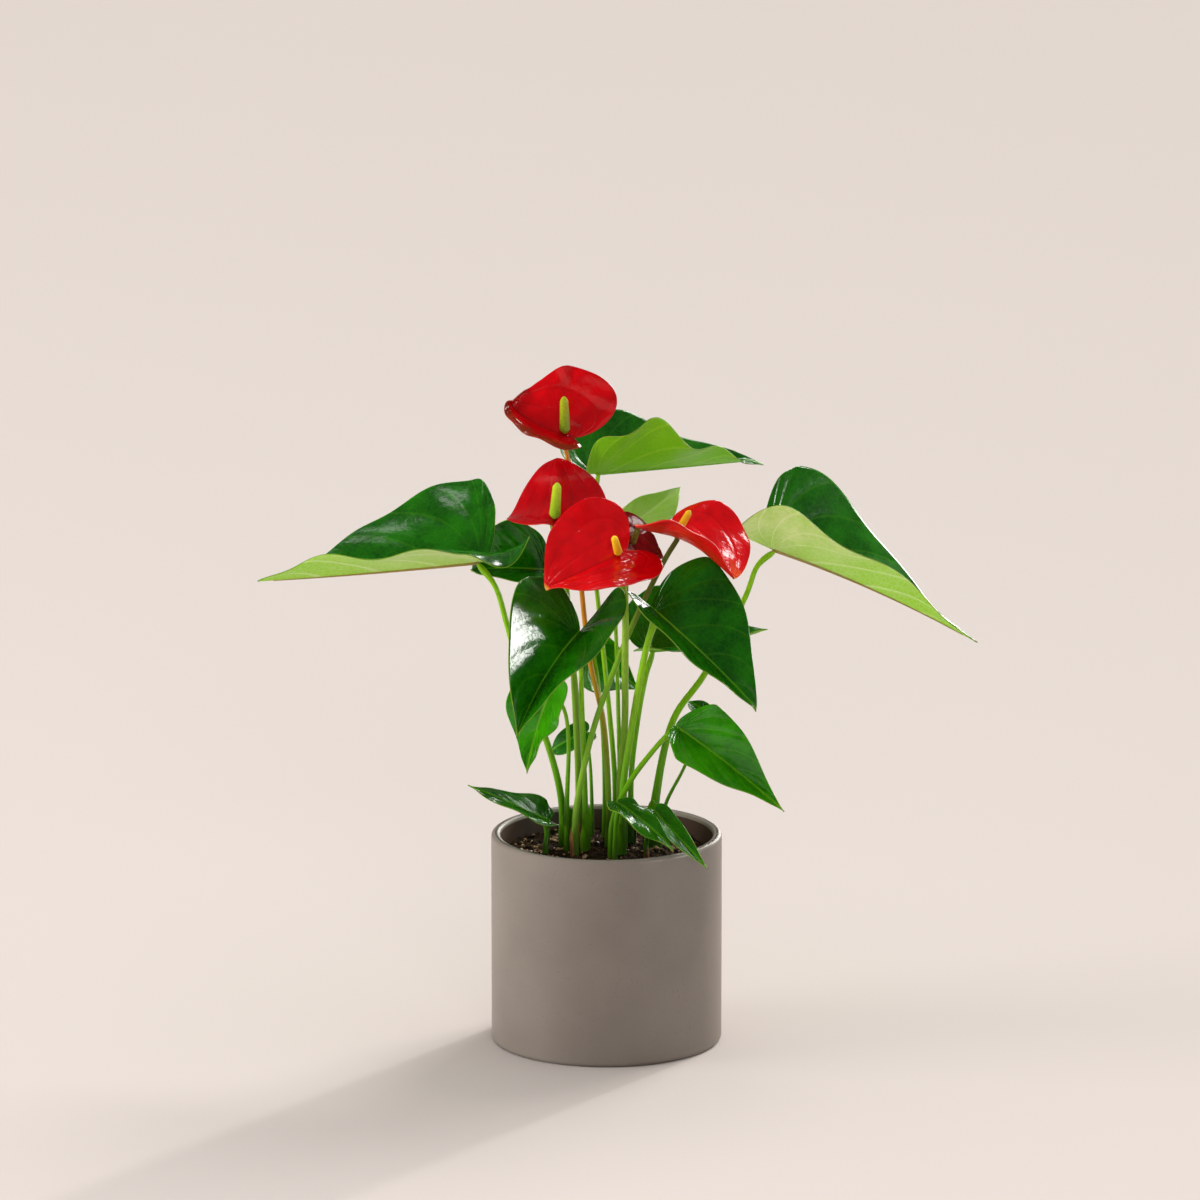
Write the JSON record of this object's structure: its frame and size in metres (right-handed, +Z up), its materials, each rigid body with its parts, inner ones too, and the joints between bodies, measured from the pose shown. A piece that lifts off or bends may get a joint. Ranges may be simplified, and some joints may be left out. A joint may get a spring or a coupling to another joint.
{
  "type": "potted anthurium plant in a plain cylindrical pot",
  "caption": "Living anthurium with heart-shaped red spathes and pointed leaves on upright stems, standing in the soil of a plain straight-sided ceramic pot.",
  "frame": {"origin": "centre of the pot's flat underside", "axes": "+Z up, -Y towards the camera of the picture (front), +X to the right in the picture"},
  "size_m": [0.4362, 0.166, 0.4154],
  "materials": {
    "ceramic": "satin grey-brown glaze",
    "soil": "loose dark potting soil",
    "leaf": "glossy dark green leaf",
    "young_leaf": "pale soft young leaf",
    "spathe": "lacquer-like red",
    "stalk": "smooth green stalk",
    "spadix": "fine-grained yellow-green"
  },
  "bodies": {
    "root": {"pot": "ceramic", "soil": "soil", "leaf_right": "leaf", "leaf_left": "leaf", "leaf_top": "leaf", "leaf_front_left": "leaf", "leaf_hanging": "leaf", "leaf_front_right": "leaf", "leaf_lower_right": "leaf", "leaf_back_right": "leaf", "leaf_back_left": "leaf", "leaf_back_middle": "leaf", "leaf_young": "young_leaf", "leaf_small_back": "leaf", "leaf_small_right": "leaf", "leaf_low_left": "leaf", "leaf_low_front": "leaf", "leaf_low_rim": "leaf", "spathe_top": "spathe", "stalk_top": "stalk", "spadix_top": "spadix", "spathe_left": "spathe", "stalk_left": "stalk", "spadix_left": "spadix", "spathe_front": "spathe", "stalk_front": "stalk", "spadix_front": "spadix", "spathe_right": "spathe", "stalk_right": "stalk", "spadix_right": "spadix", "spathe_back": "spathe", "stalk_back": "stalk", "spadix_back": "spadix"}
  },
  "joints": []
}
